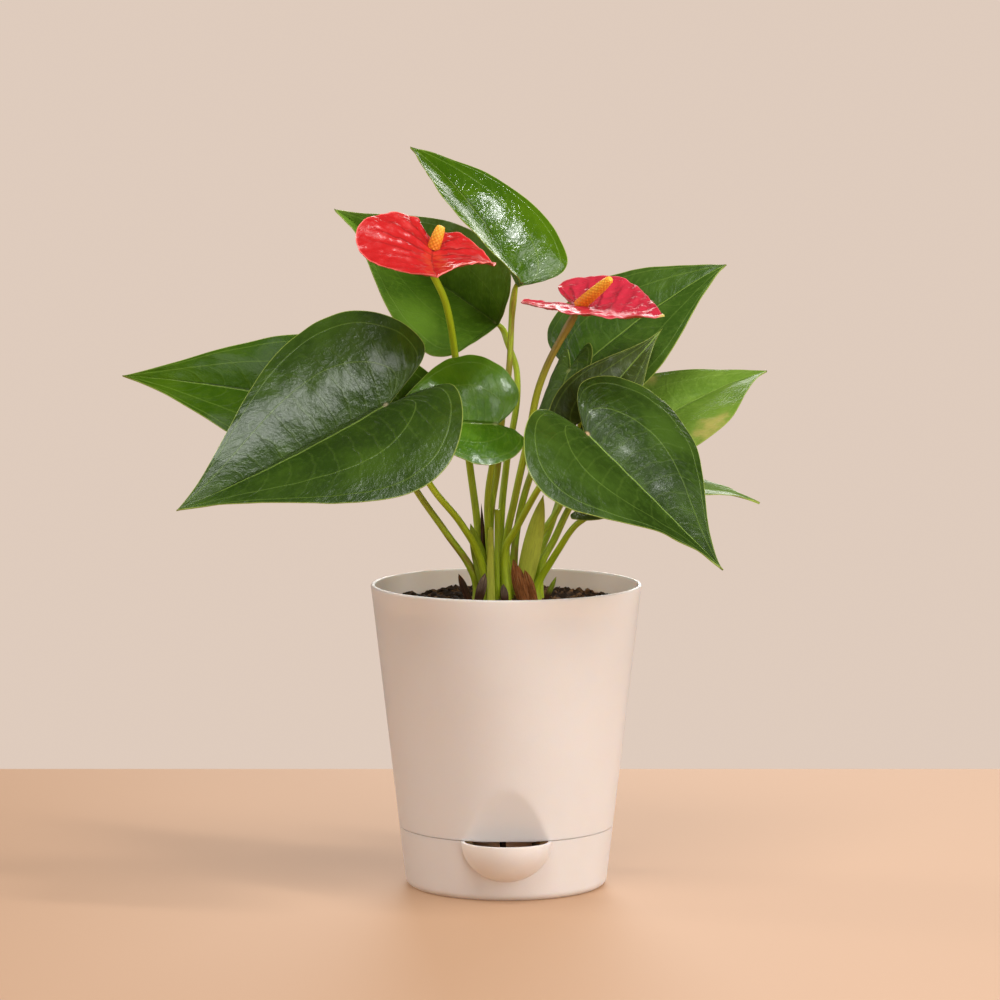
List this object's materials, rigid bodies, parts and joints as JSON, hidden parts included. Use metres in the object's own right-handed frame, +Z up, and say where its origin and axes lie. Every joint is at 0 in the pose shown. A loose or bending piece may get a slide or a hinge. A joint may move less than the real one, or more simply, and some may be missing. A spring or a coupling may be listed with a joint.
{
  "type": "potted anthurium",
  "caption": "Red-flowered anthurium with glossy heart-shaped leaves, growing in a tapered ivory self-watering pot with a scooped filling spout.",
  "frame": {"origin": "centre of the water reservoir's flat underside, on the surface that the pot stands on", "axes": "+Z up, -Y towards the filling spout, +X to the right seen from the spout"},
  "size_m": [0.2991, 0.1829, 0.3399],
  "materials": {
    "ivory_plastic": "smooth satin moulded plastic",
    "potting_mix": "dark crumbly growing medium",
    "leaf": "glossy dark green leaf",
    "young_leaf": "pale green young growth",
    "stem": "smooth yellow-green stem",
    "scarlet_spathe": "waxy high-gloss scarlet",
    "crimson_spathe": "waxy high-gloss crimson",
    "spadix": "fine-grained golden yellow",
    "dry_scale": "dry brown papery scale"
  },
  "bodies": {
    "root": {"planter_shell": "ivory_plastic", "water_reservoir": "ivory_plastic", "potting_mix": "potting_mix", "crown": "dry_scale", "leaf_left_front": "leaf", "leaf_left_back": "leaf", "leaf_upper_left": "leaf", "leaf_top": "leaf", "leaf_upper_right": "leaf", "leaf_right_back": "leaf", "leaf_right_front": "leaf", "leaf_centre": "leaf", "leaf_right_inner": "leaf", "leaf_low_right": "leaf", "leaf_centre_back": "leaf", "petiole_left_front": "stem", "petiole_left_back": "stem", "petiole_upper_left": "stem", "petiole_top": "stem", "petiole_upper_right": "stem", "petiole_right_back": "stem", "petiole_right_front": "stem", "petiole_centre": "stem", "petiole_right_inner": "stem", "petiole_low_right": "stem", "petiole_centre_back": "stem", "spathe_left": "scarlet_spathe", "spathe_right": "crimson_spathe", "spadix_left": "spadix", "spadix_right": "spadix", "peduncle_left": "stem", "peduncle_right": "stem", "new_shoot": "young_leaf", "unfurling_leaf": "young_leaf", "cut_petiole_stub": "stem", "green_sheath": "stem", "dry_bract": "dry_scale", "cataphyll_front": "dry_scale", "cataphyll_right": "dry_scale", "cataphyll_pale": "dry_scale", "cataphyll_grey": "dry_scale", "cataphyll_left": "dry_scale", "cataphyll_sprig": "dry_scale"}
  },
  "joints": []
}
